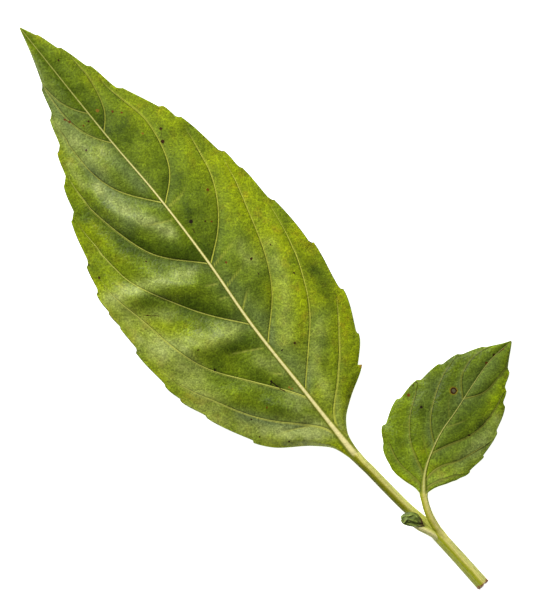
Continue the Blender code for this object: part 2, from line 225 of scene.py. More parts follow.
# ---------------------------------------------------------------- stem, side shoot and folded leaves
# A stem has (x, y, height) along its path, (share of its length, radius) and ribs like a leaf's stalk.
# A folded leaf has (x, y, height) along its midrib, (share of its length, width), its lean in degrees,
# how far it puffs out as a share of its width, and how many ridges cross it.
STEM = {
    "path": (
        (26.45, -34.9, 0.95), (27.2, -35.75, 1.02), (28.3, -36.98, 1.05), (31.03, -39.97, 1.03),
        (34.79, -44.18, 1.03),
    ),
    "radii": ((0.0, 0.3), (0.06, 0.85), (0.13, 1.05), (0.5, 1.07), (1.0, 1.11)),
    "ribs": ((4, 0.1, 0.0), (12, 0.018, 0.5), (20, 0.01, 0.0)),
    "sides": 96,
    "rings": 70,
    "cut": True,
}
SHOOT = {
    "path": (
        (28.4, -37.2, 1.1), (27.1, -36.2, 1.45), (25.9, -35.5, 1.8), (24.6, -34.9, 2.15), (23.7, -34.5, 2.4),
    ),
    "radii": ((0.0, 0.4), (0.35, 0.62), (0.75, 0.62), (1.0, 0.42)),
    "ribs": ((5, 0.05, 0.4), (13, 0.02, 0.0)),
    "sides": 48,
    "rings": 40,
}
CUT_RAGGED = 0.07  # height of the waves round the cut, in millimetres
CUT_WAVES = ((3, 1.0, 0.6), (7, 0.7, 0.0), (12, 0.5, 2.0))  # count, height and turn
CUT_SLANT = 0.20
CUT_DRIED = 0.35  # how far the dried rim wanders
CUT_FACE = ((0.93, 0.02), (0.80, 0.10), (0.62, 0.12), (0.35, 0.22), (0.10, 0.20))  # scale and depth
SLIT_GAP = 0.03  # a share of how far a folded half puffs out
SHEET_EDGE = 0.05  # in millimetres
CRIMP_DEPTH = 0.06  # a share of the folded leaf's width
CRIMP_SLANT = 0.45
BUD_OUTER = {
    "midrib": (
        (25.3, -34.65, 2.4), (24.3, -34.8, 2.6), (23.0, -34.7, 2.72), (21.95, -34.35, 2.75),
        (21.5, -33.75, 2.75),
    ),
    "widths": ((0.0, 0.15), (0.15, 0.7), (0.45, 1.2), (0.75, 1.2), (0.93, 0.95), (1.0, 0.45)),
    "lean": 10.0,
    "puff": 0.36,
    "ridges": 2.6,
}
BUD_INNER = {
    "midrib": (
        (25.1, -34.35, 2.45), (24.3, -34.2, 2.65), (23.3, -34.05, 2.75), (22.5, -34.1, 2.75),
        (22.0, -34.35, 2.7),
    ),
    "widths": ((0.0, 0.15), (0.15, 0.8), (0.4, 1.5), (0.7, 1.7), (0.9, 1.4), (1.0, 0.8)),
    "lean": 14.0,
    "puff": 0.38,
    "ridges": 2.2,
}


# ================================================================ geometry helpers
def through(pairs, x):
    """Smooth values at x, through (x, value) pairs, that never overshoot them."""
    xs, ys = np.array(pairs, float).T
    x = np.clip(x, xs[0], xs[-1])
    slopes = np.diff(ys) / np.diff(xs)
    before, after = slopes[:-1], slopes[1:]
    bends = before * after > 0
    middle = np.where(bends, 2 * before * after / np.where(bends, before + after, 1), 0)
    tangents = np.concatenate([slopes[:1], middle, slopes[-1:]])
    i = np.clip(np.searchsorted(xs, x, side="right") - 1, 0, len(xs) - 2)
    width = xs[i + 1] - xs[i]
    t = (x - xs[i]) / width
    curve = width * t * (1 - t) * (tangents[i] * (1 - t) - tangents[i + 1] * t)
    return ys[i] + (ys[i + 1] - ys[i]) * t * t * (3 - 2 * t) + curve


def smooth_step(low, high, x):
    t = np.clip((np.asarray(x, float) - low) / (high - low), 0.0, 1.0)
    return t * t * (3 - 2 * t)


def blend(first, second, share):
    return first + (second - first) * share


def near(gap, reach):
    """1 at no distance, falling smoothly to about a third at this reach."""
    return np.exp(-((gap / reach) ** 2))


def creased(gap, reach):
    """1 at no distance, falling at once, to about a third at this reach."""
    return np.exp(-gap / reach)


def swing(ribs, angle):
    """How far a ribbed outline stands out at each angle, from the count, depth and turn of its ribs."""
    return sum(depth * np.cos(count * angle + turn) for count, depth, turn in ribs)


def gaps_to(points, line):
    """For each piece of a line in plan: its distance from the points, and how far along the line that is."""
    gaps, alongs = [], []
    for i, (start, end) in enumerate(zip(line, line[1:])):
        step = end - start
        t = np.clip((points - start) @ step / (step @ step), 0, 1)
        gaps.append(np.linalg.norm(points - start - t[..., None] * step, axis=-1) / MM)
        alongs.append((i + t) / (len(line) - 1))
    return np.array(gaps), np.array(alongs)


def strongest(points, line, fade, profile, reach):
    """The most that any piece of a line gives: what its fade leaves times a profile of the distance."""
    gaps, alongs = gaps_to(points, line)
    return np.max(fade(alongs) * profile(gaps, reach), axis=0)


def noise_field(points, frequency, seed):
    """Smooth noise from -1 to 1 at plan points; frequency is in waves per millimetre."""
    values = [noise.noise(Vector((x, y, seed))) for x, y in points.reshape(-1, 2) * (frequency / MM)]
    return np.array(values).reshape(points.shape[:-1])


class Path:
    """A smooth curve through points given in millimetres, read by its length in metres."""

    STEPS = 40

    def __init__(self, points):
        knots = np.array(points, float) * MM
        knots = np.vstack([2 * knots[0] - knots[1], knots, 2 * knots[-1] - knots[-2]])
        t = np.linspace(0, 1, self.STEPS, endpoint=False)[:, None]
        dense = []
        for a, b, c, d in zip(knots, knots[1:], knots[2:], knots[3:]):
            bend = (2 * a - 5 * b + 4 * c - d) * t**2 + (3 * b - a - 3 * c + d) * t**3
            dense.append(b + ((c - a) * t + bend) / 2)
        self.points = np.vstack([*dense, knots[-2]])
        steps = np.linalg.norm(np.diff(self.points, axis=0), axis=1)
        self.lengths = np.concatenate([[0], np.cumsum(steps)])
        self.total = self.lengths[-1]

    def at(self, length):
        return np.stack([np.interp(length, self.lengths, column) for column in self.points.T], axis=-1)

    def axes(self, length):
        """Unit vectors ahead along the path, level across it to its right, and up."""
        reach = self.total / 200
        ahead = self.at(np.minimum(length + reach, self.total)) - self.at(np.maximum(length - reach, 0))
        ahead /= np.linalg.norm(ahead, axis=-1, keepdims=True)
        across = np.cross(ahead, UP)
        across /= np.linalg.norm(across, axis=-1, keepdims=True)
        return ahead, across, np.cross(across, ahead)


def ring_mesh(rings):
    """One closed mesh through rings of equal count, with a cap at each end."""
    count, around = rings.shape[:2]
    index = np.arange(count * around).reshape(count, around)
    after = np.roll(index, -1, axis=1)
    quads = np.stack([index[:-1], after[:-1], after[1:], index[1:]], axis=-1).reshape(-1, 4)
    faces = quads.tolist() + [index[0, ::-1].tolist(), index[-1].tolist()]
    data = bpy.data.meshes.new("rings")
    data.from_pydata(rings.reshape(-1, 3).tolist(), [], faces)
    data.validate()
    data.shade_smooth()
    return data


def set_attributes(data, shape, **attributes):
    """Numbers at the points of a mesh, each spread over its rings of this shape."""
    for name, values in attributes.items():
        grid = np.ascontiguousarray(np.broadcast_to(values, shape), np.float32)
        data.attributes.new(name, "FLOAT", "POINT").data.foreach_set("value", grid.ravel())


# ================================================================ leaves
def vein_station(route, share):
    return through(tuple(zip(VEIN_SHARES, route)), share)


def minor_fade(along):
    return 1 - smooth_step(0.4, 1.0, along)


def fold_fade(along):
    return smooth_step(-0.1, 0.3, along) * (1 - smooth_step(0.7, 1.1, along))


def over_both(left, right):
    """A grid over the whole blade, from its left margin to its right, from a grid for each side."""
    return np.concatenate([left[:, ::-1], right[:, 1:]], axis=1)


def and_back(over, under):
    """Closed rings: over the top of the blade, then back underneath."""
    return np.concatenate([over, under[:, -2:0:-1]], axis=1)


class Leaf:
    """The shape of one leaf, worked out on a grid of rows (along) and columns (across each side)."""

    SIDES = {"left": -1, "right": 1}
    MARKS = ("tipward_gap", "basal_gap", "minor", "rib", "share", "station")

    def __init__(self, shape):
        self.shape = shape
        self.spine = Path(shape["stalk"] + shape["midrib"])
        base = np.array(shape["stalk"][-1]) * MM
        nearest = np.linalg.norm(self.spine.points - base, axis=1).argmin()
        self.stalk_length = self.spine.lengths[nearest]
        self.blade_length = self.spine.total - self.stalk_length
        self.notch = NOTCH_RUN / self.blade_length

    def rib_radius(self, station):
        return through(self.shape["rib"], station) * MM

    def tooth_offset(self, side, station):
        """The margin swells towards each tooth's tip and drops back just past it."""
        offset = np.zeros(np.shape(station))
        before = FIRST_TOOTH_STARTS
        for tip, depth in self.shape[side]["teeth"]:
            rise = np.sin(np.pi / 2 * np.clip((station - before) / (tip - before), 0, 1)) ** TOOTH_SWELL
            drop = 1 - smooth_step(tip, tip + self.notch, station)
            inside = (station > before) & (station < tip + self.notch)
            offset = np.where(inside, depth * MM * rise * drop, offset)
            before = tip + self.notch
        return offset

    def lamina_offset(self, side, station, share):
        """How far from the spine a share of the blade lies; teeth only move what is near the margin."""
        rib = self.rib_radius(station)
        width = through(self.shape[side]["widths"], np.maximum(station, 0.0)) * MM
        tooth = self.tooth_offset(side, station) * share**TOOTH_REACH
        return blend(rib, np.maximum(width, rib), share) + tooth

    def swept(self, side, rows, shares):
        """The station of each row at each share: rows follow the side veins out to the margin."""
        routes = self.shape[side]["veins"]
        starts = [0.0, *(route[0] for route in routes), 1.0]
        stations = np.empty((len(rows), len(shares)))
        for j, share in enumerate(shares):
            here = [float(vein_station(route, share)) for route in routes]
            stations[:, j] = np.interp(rows, starts, [0.0, *here, 1.0])
        return np.where(rows[:, None] > 0, stations, rows[:, None])

    def plan(self, side, station, offset):
        """Places at these offsets from the spine, at the spine's own height."""
        on_stalk = self.stalk_length * (1 + station)
        length = np.where(station < 0, on_stalk, self.stalk_length + self.blade_length * station)
        across = self.spine.axes(length)[1]
        return self.spine.at(length) + self.SIDES[side] * offset[..., None] * across

    def lamina_place(self, side, station, share):
        return self.plan(side, station, self.lamina_offset(side, station, share))[..., :2]

    def vein_line(self, side, route):
        shares = np.linspace(0, 1, VEIN_STEPS)
        return self.lamina_place(side, vein_station(route, shares), shares)

    def minor_line(self, side, route):
        stations, outward = zip(*route)
        shares = np.linspace(outward[0], outward[-1], VEIN_STEPS // 3)
        return self.lamina_place(side, through(tuple(zip(outward, stations)), shares), shares)

    def rows(self):
        """Rows spread over midrib and margins, with one exactly on every side vein and every tooth."""
        fine = np.linspace(0, 1, FINE_ROWS)
        travel = np.zeros(len(fine))
        exact = [0.0, 1.0]
        for side in self.SIDES:
            stations = self.swept(side, fine, (0.0, 1.0))
            for share, station in enumerate(stations.T):
                edge = self.lamina_place(side, station, share)
                travel[1:] += np.cumsum(np.linalg.norm(np.diff(edge, axis=0), axis=1))
            for tip, _ in self.shape[side]["teeth"]:
                exact += [np.interp(place, stations[:, 1], fine) for place in (tip, tip + self.notch)]
            exact += [route[0] for route in self.shape[side]["veins"]]
        rows = np.interp(np.linspace(0, travel[-1], self.shape["blade_rows"]), travel, fine)
        for place in exact:
            rows[np.abs(rows - place).argmin()] = place
        stalk = np.linspace(-1, 0, self.shape["stalk_rows"], endpoint=False)
        return np.concatenate([stalk, np.sort(rows)])

    def columns(self):
        """Rib shares for the rib's columns and blade shares for the rest, closer together at both ends."""
        even = np.linspace(0, 1, self.shape["columns"] + 1)[1:]
        blade = blend(even, (1 - np.cos(np.pi * even)) / 2, 0.45)
        rib = np.concatenate([RIB_SHARES, np.ones(len(blade))])
        return rib, np.concatenate([np.zeros(len(RIB_SHARES)), blade])

    def half(self, side, rows):
        """Upper and lower places over one side of the leaf, and what the material needs to know there."""
        rib_shares, shares = self.columns()
        station = self.swept(side, rows, shares)
        rib = self.rib_radius(station)
        opened = smooth_step(*STALK_OPENS, station)
        angle = np.linspace(0, np.pi / 2, len(shares))
        stalk = rib * (1 + swing(STALK_RIBS, angle))
        offset = self.lamina_offset(side, station, shares) - rib * (1 - rib_shares)
        offset = blend(stalk * np.sin(angle), offset, opened)
        place = self.plan(side, station, offset)
        marks = self.marks(side, place[..., :2], rows, station, shares, offset, rib)
        edge = through(self.shape[side]["edge"], np.maximum(station, 0)) * MM
        arch = (edge - place[..., 2]) * shares**ARCH_POWER * (station > 0)
        middle = place[..., 2] + (arch + marks["lift"] * MM) * opened
        dome = np.sqrt(1 - rib_shares**2)
        body = BLADE_THICKNESS / 2 * (1 - shares**RIM_POWER)
        surfaces = []
        for way, rib_rise, detail in ((1, RIB_RISE, "ridge"), (-1, 1.0, "keel")):
            depth = blend(stalk * np.cos(angle), body + rib * rib_rise * dome + marks[detail] * MM, opened)
            depth[:, -1] = 0
            height = np.maximum(middle + way * depth, LOWEST)
            surfaces.append(np.concatenate([place[..., :2], height[..., None]], axis=-1))
        return surfaces, marks

    def marks(self, side, plan, rows, station, shares, offset, rib):
        """What veins and folds do to the surface: heights in millimetres and attributes for the material.

        A point is on a vein's tipward side, where the blade drops steeply into the vein, or on its
        basal side, where the blade swells up from it slowly.
        """
        shape = self.shape[side]
        valley = 1 - creased(np.maximum(offset - rib, 0) / MM, RIB_REACH)
        tipward_gap, basal_gap = np.full((2, *station.shape), FAR)
        for route, relief in zip(shape["veins"], shape["relief"]):
            gaps, alongs = gaps_to(plan, self.vein_line(side, route))
            strength = 1 - smooth_step(*VEIN_FADES, alongs)
            crease = np.max(strength * creased(gaps, CREASE_REACH), axis=0)
            swell = np.max(strength * near(gaps, SWELL_REACH), axis=0)
            drawn = np.min(gaps / np.maximum(strength * (1 - VEIN_TAPER * alongs), VEIN_THINNEST), axis=0)
            tipward = rows[:, None] >= route[0]
            valley = valley * (1 - relief * np.where(tipward, crease, swell))
            tipward_gap = np.minimum(tipward_gap, np.where(tipward, drawn, FAR))
            basal_gap = np.minimum(basal_gap, np.where(tipward, FAR, drawn))
        minor = np.zeros(station.shape)
        for route in shape["minor_veins"]:
            line = self.minor_line(side, route)
            minor = np.maximum(minor, strongest(plan, line, minor_fade, near, MINOR_RADIUS))
            valley = valley * (1 - MINOR_VALLEY * strongest(plan, line, minor_fade, creased, MINOR_REACH))
        ridge = near(np.minimum(tipward_gap, basal_gap), VEIN_RADIUS)
        on_blade = smooth_step(0.0, 0.03, station)
        return {
            "lift": self.lift(side, plan, shares, valley, ridge) * on_blade,
            "ridge": VEIN_RIDGE * ridge * on_blade,
            "keel": (VEIN_KEEL * ridge + MINOR_KEEL * minor) * on_blade,
            "tipward_gap": tipward_gap,
            "basal_gap": basal_gap,
            "minor": minor * on_blade,
            "rib": self.SIDES[side] * np.clip(offset / rib, 0, 3),
            "share": np.broadcast_to(shares, station.shape),
            "station": station,
        }

    def lift(self, side, plan, shares, valley, ridge):
        """How far the blade stands above its plain arch, in millimetres."""
        height = self.shape[side]["swell"] * valley * (1 - 0.5 * smooth_step(0.7, 1.0, shares))
        inner = smooth_step(0.0, 0.2, shares) * (1 - smooth_step(0.8, 1.0, shares))
        for fold, reach, *crest in self.shape["folds"]:
            height = height + fold * inner * strongest(plan, np.array(crest) * MM, fold_fade, near, reach)
        for frequency, ripple, seed in RIPPLES:
            height = height + ripple * noise_field(plan, frequency, seed) * (1 - ridge) * valley
        return height

    def mesh(self, look):
        """One closed mesh of the whole leaf, with its attributes."""
        rows = self.rows()
        (left, left_marks), (right, right_marks) = (self.half(side, rows) for side in self.SIDES)
        top, bottom = (over_both(*halves) for halves in zip(left, right))
        rings = and_back(top, bottom)
        marks = {"under": and_back(np.zeros(top.shape[:2]), np.ones(top.shape[:2]))}
        for name in self.MARKS:
            over = over_both(left_marks[name], right_marks[name])
            marks[name] = and_back(over, over)
        data = ring_mesh(rings)
        set_attributes(data, rings.shape[:2], **marks, **leaf_tints(look, rings[..., :2], marks))
        return data


def banded(plan, bands):
    """Soft bands of a tint along lines, each with its weight and reach."""
    total = np.zeros(plan.shape[:-1])
    for weight, reach, *line in bands:
        total += weight * strongest(plan, np.array(line) * MM, np.ones_like, near, reach)
    return total


def leaf_tints(look, plan, marks):
    """How much of each tint a place on the blade has, from 0 to 1."""
    right = marks["rib"] > 0
    share, station = marks["share"], marks["station"]
    broad, blotch, speckle = (noise_field(plan, frequency, seed) for frequency, seed in TINT_NOISES)
    # Darker tint: partly the blade's darker green, partly painted shade laid in bands where folds and swells
    # turn from the light.
    dark = np.clip(banded(plan, look["deep_and_shade_bands"]), 0, 1)
    foot = 1 - smooth_step(*FOOT_YELLOWS, station)

    left_rim, right_rim = look["rim_yellow"]
    yellow = np.where(right, right_rim, left_rim) * smooth_step(0.25, 0.85, share)
    yellow = yellow + banded(plan, look["yellow_bands"])
    yellow = yellow + (0.9 * broad + 0.7 * blotch) * (0.14 + yellow) + 0.4 * speckle * (0.15 + yellow)

    # Painted shade on the tipward side of each vein, where the blade drops into the vein away from the light.
    painted_vein_shade = 0.5 * creased(marks["tipward_gap"], 1.4) * (1 - 0.5 * share)
    deep_and_shade = dark + painted_vein_shade * smooth_step(-0.1, 0.4, station)
    deep_and_shade = deep_and_shade + np.where(right, 0.15, 0.0) * smooth_step(0.4, 0.9, share)
    deep_and_shade = deep_and_shade + 0.3 * broad - 0.5 * blotch + 0.3 * speckle

    # Greyish tint: partly the blade's own greyish green, partly painted sheen on the basal side of each vein
    # and in bands where light glances off.
    grey_and_sheen = np.where(right, 0.4, 0.55) * near(marks["basal_gap"], 1.1) * (1 - share)
    grey_and_sheen = grey_and_sheen + banded(plan, look["grey_and_sheen_bands"])
    # Painted highlight: a whitish tint in bands where the light's sheen lies on the blade.
    painted_highlight = banded(plan, look["painted_highlight_bands"]) * (1 + 0.8 * speckle + 0.5 * blotch)
    tints = {
        "yellow": (yellow + foot) * (1 - 0.6 * dark),
        "deep_and_shade": deep_and_shade * (1 - foot),
        "grey_and_sheen": grey_and_sheen * (1 - 0.5 * dark),
        "painted_highlight": painted_highlight,
    }
    return {name: np.clip(value, 0, 1) for name, value in tints.items()}


# ================================================================ stem, side shoot and folded leaves
class Stalk:
    """A ribbed tube round a path; attributes say where a point is across it, along it and at a cut."""

    def __init__(self, path, radii, ribs, sides, rings, cut=False):
        self.path = Path(path)
        self.radii = radii
        self.angle = np.linspace(0, 2 * np.pi, sides, endpoint=False)
        outline = 1 + swing(ribs, self.angle)
        self.outline = outline / outline.max()
        self.stations = np.linspace(0, 1, rings)
        self.cut = cut

    def ring(self, share, scale=1.0, push=0.0):
        """One ring; scale shrinks it towards the axis and push moves it along the axis, per point."""
        length = share * self.path.total
        ahead, across, up = self.path.axes(length)
        reach = scale * through(self.radii, share) * self.outline[:, None]
        out = np.cos(self.angle)[:, None] * up + np.sin(self.angle)[:, None] * across
        return self.path.at(length) + (reach * out + np.reshape(push, (-1, 1)) * ahead) * MM

    def cut_rings(self):
        """The last ring of the tube and those over its hollow, ragged end."""
        waves = sum(height * np.sin(count * self.angle + turn) for count, height, turn in CUT_WAVES)
        ragged = CUT_RAGGED * waves - CUT_SLANT * np.cos(self.angle)
        return [self.ring(1.0, scale, ragged * scale - sink) for scale, sink in ((1.0, 0.0), *CUT_FACE)]

    def mesh(self):
        rings = [self.ring(share) for share in self.stations]
        if self.cut:
            rings[-1:] = self.cut_rings()
        rings = np.array(rings)
        number = np.arange(len(rings))[:, None]
        along = np.minimum(number / (len(self.stations) - 1), 1) * self.path.total / MM
        data = ring_mesh(rings)
        set_attributes(
            data,
            rings.shape[:2],
            around=np.sin(self.angle),
            turn=np.minimum(self.angle, 2 * np.pi - self.angle),
            along=along,
            cut=number >= len(self.stations),
            end_gap=along[-1] - along if self.cut else FAR,
        )
        return data


class FoldedLeaf:
    """A young leaf still folded along its midrib, on its side: two crimped halves with a slit between."""

    ROWS = 90
    COLUMNS = 44
    SLIT = [-2, -5, -8]  # columns of both halves whose middles line the slit

    def __init__(self, shape):
        self.shape = shape
        self.spine = Path(shape["midrib"])
        self.turn = math.radians(shape["lean"])

    def mesh(self):
        share = np.linspace(0, 1, self.ROWS)[:, None]
        out = np.linspace(0, 1, self.COLUMNS)[None, :]
        width = through(self.shape["widths"], share) * MM
        length = share[:, 0] * self.spine.total
        _, across, up = self.spine.axes(length)
        lean_out = math.cos(self.turn) * across + math.sin(self.turn) * up
        lean_up = math.cos(self.turn) * up - math.sin(self.turn) * across
        crimp = self.crimp(share, out)
        bulge = np.where(out == 0, 0.25, np.sin(np.pi * out**0.6) ** 0.8 + SLIT_GAP)
        puff = (self.shape["puff"] * bulge + crimp) * width + SHEET_EDGE * MM
        middle = self.spine.at(length)[:, None] + (width * out)[..., None] * lean_out[:, None]
        top, bottom = (middle + half * puff[..., None] * lean_up[:, None] for half in (1, -1))
        rings = np.concatenate([top, middle[:, self.SLIT], bottom[:, ::-1]], axis=1)
        slit = np.full((self.ROWS, len(self.SLIT)), -0.1)
        # Marks the slit between the halves, where the material paints shade.
        inside = np.repeat([0.0, 1.0, 0.0], [self.COLUMNS, len(self.SLIT), self.COLUMNS])
        ridge = np.concatenate([crimp, slit, crimp[:, ::-1]], axis=1) / CRIMP_DEPTH
        data = ring_mesh(rings)
        set_attributes(data, rings.shape[:2], inside=inside, ridge=ridge, along=share)
        return data

    def crimp(self, share, out):
        """Wandering ridges that run slantwise along the folded leaf, broken by shallower ones across them."""
        wander = 0.10 * np.sin(7.0 * share + 2.0 * out) + 0.07 * np.sin(17.0 * share - 5.0 * out)
        phase = self.shape["ridges"] * (out - CRIMP_SLANT * share + wander)
        wave = 1 - 2 * np.abs(np.sin(np.pi * phase)) ** 0.7
        across = np.sin(np.pi * (6.0 * share + 3.0 * out + 2.0 * wander))
        inner = smooth_step(0.0, 0.2, out) * smooth_step(0.0, 0.12, share)
        return CRIMP_DEPTH * (wave + 0.45 * across) * inner


# ================================================================ materials
class Shader:
    """One Principled material and short calls that add nodes to it and give back their output."""

    def __init__(self, name):
        self.material = bpy.data.materials.new(name)
        self.material.use_nodes = True
        self.tree = self.material.node_tree

    def feed(self, socket, value):
        if isinstance(value, bpy.types.NodeSocket):
            self.tree.links.new(value, socket)
        else:
            socket.default_value = (*value, 1.0) if socket.type == "RGBA" else value

    def node(self, kind, inputs=(), output=0, **settings):
        made = self.tree.nodes.new(f"ShaderNode{kind}")
        for key, value in settings.items():
            setattr(made, key, value)
        for key, value in dict(inputs).items():
            self.feed(made.inputs[key], value)
        return made.outputs[output]

    def set(self, **inputs):
        for key, value in inputs.items():
            self.feed(self.tree.nodes["Principled BSDF"].inputs[key.replace("_", " ")], value)

    def finish(self, colour, roughness, specular, *bumps):
        """The finished material; a bump has its height, strength and distance in millimetres."""
        normal = None
        for height, strength, distance in bumps:
            inputs = {"Height": height, "Strength": strength, "Distance": distance * MM}
            if normal is not None:
                inputs["Normal"] = normal
            normal = self.node("Bump", inputs)
        self.set(Base_Color=colour, Roughness=roughness, Normal=normal, Specular_IOR_Level=specular)
        return self.material

    def attribute(self, name):
        return self.node("Attribute", output="Fac", attribute_name=name)

    def position(self, flat=False):
        """Places in the object's own space, in millimetres; flat leaves out the height."""
        scale = (1 / MM, 1 / MM, 0 if flat else 1 / MM)
        return self.vector("MULTIPLY", self.node("TexCoord", output="Object"), scale)

    def math(self, operation, first, second=0.0):
        return self.node("Math", {0: first, 1: second}, operation=operation)

    def times(self, first, second):
        return self.math("MULTIPLY", first, second)

    def vector(self, operation, first, second, output=0):
        return self.node("VectorMath", {0: first, 1: second}, output, operation=operation)

    def distance(self, first, second):
        return self.vector("DISTANCE", first, second, "Value")

    def line_distance(self, place, start, end):
        """How far a place lies from the straight line between two points of the z = 0 plane."""
        run = Vector((*end, 0)) - Vector((*start, 0))
        offset = self.vector("SUBTRACT", place, (*start, 0))
        share = self.vector("DOT_PRODUCT", offset, run / run.length_squared, "Value")
        inside = self.ramp(share, 0.0, 1.0, kind="LINEAR")
        return self.distance(offset, self.node("VectorMath", {0: run, "Scale": inside}, operation="SCALE"))

    def ramp(self, value, low, high, start=0.0, end=1.0, kind="SMOOTHSTEP"):
        """From start to end while the value goes from low to high."""
        ends = {"Value": value, "From Min": low, "From Max": high, "To Min": start, "To Max": end}
        return self.node("MapRange", ends, interpolation_type=kind)

    def spread(self, noise_value, start, end):
        """Noise as a factor between these two."""
        return self.ramp(noise_value, 0.3, 0.7, start, end)

    def mix(self, factor, first, second, way="MIX"):
        return self.node("Mix", {0: factor, 6: first, 7: second}, 2, data_type="RGBA", blend_type=way)

    def shade(self, colour, amount):
        """The colour made darker or lighter by this factor."""
        return self.mix(1.0, colour, amount, "MULTIPLY")

    def noise(self, place, scale, detail=3.0, roughness=0.55, output="Fac"):
        inputs = {"Vector": place, "Scale": scale, "Detail": detail, "Roughness": roughness}
        return self.node("TexNoise", inputs, output)

    def threads(self, around, along, stretch, scale):
        """Noise drawn out into fibres along a stalk."""
        return self.noise(self.node("CombineXYZ", {0: around, 1: self.times(along, stretch)}), scale)

    def ragged(self, place, scale, reach):
        """The place moved about by noise, so that what is drawn round it gets an uneven edge."""
        push = self.vector("SUBTRACT", self.noise(place, scale, 2.0, 0.5, "Color"), (0.5, 0.5, 0.5))
        return self.vector("ADD", place, self.vector("MULTIPLY", push, (reach, reach, 0)))

    def cell_edges(self, place, scale):
        """How far a place is from the edge of its cell."""
        inputs = {"Vector": place, "Scale": scale}
        return self.node("TexVoronoi", inputs, "Distance", feature="DISTANCE_TO_EDGE")

    def bands(self, value, stops):
        """Colours across a stalk, at places from -1 on its left edge to 1 on its right."""
        colour = self.node("ValToRGB", {0: self.ramp(value, -1.0, 1.0, kind="LINEAR")}, "Color")
        elements = colour.node.color_ramp.elements
        while len(elements) < len(stops):
            elements.new(0.5)
        for element, (place, tint) in zip(elements, stops):
            element.position = (place + 1) / 2
            element.color = (*tint, 1.0)
        return colour


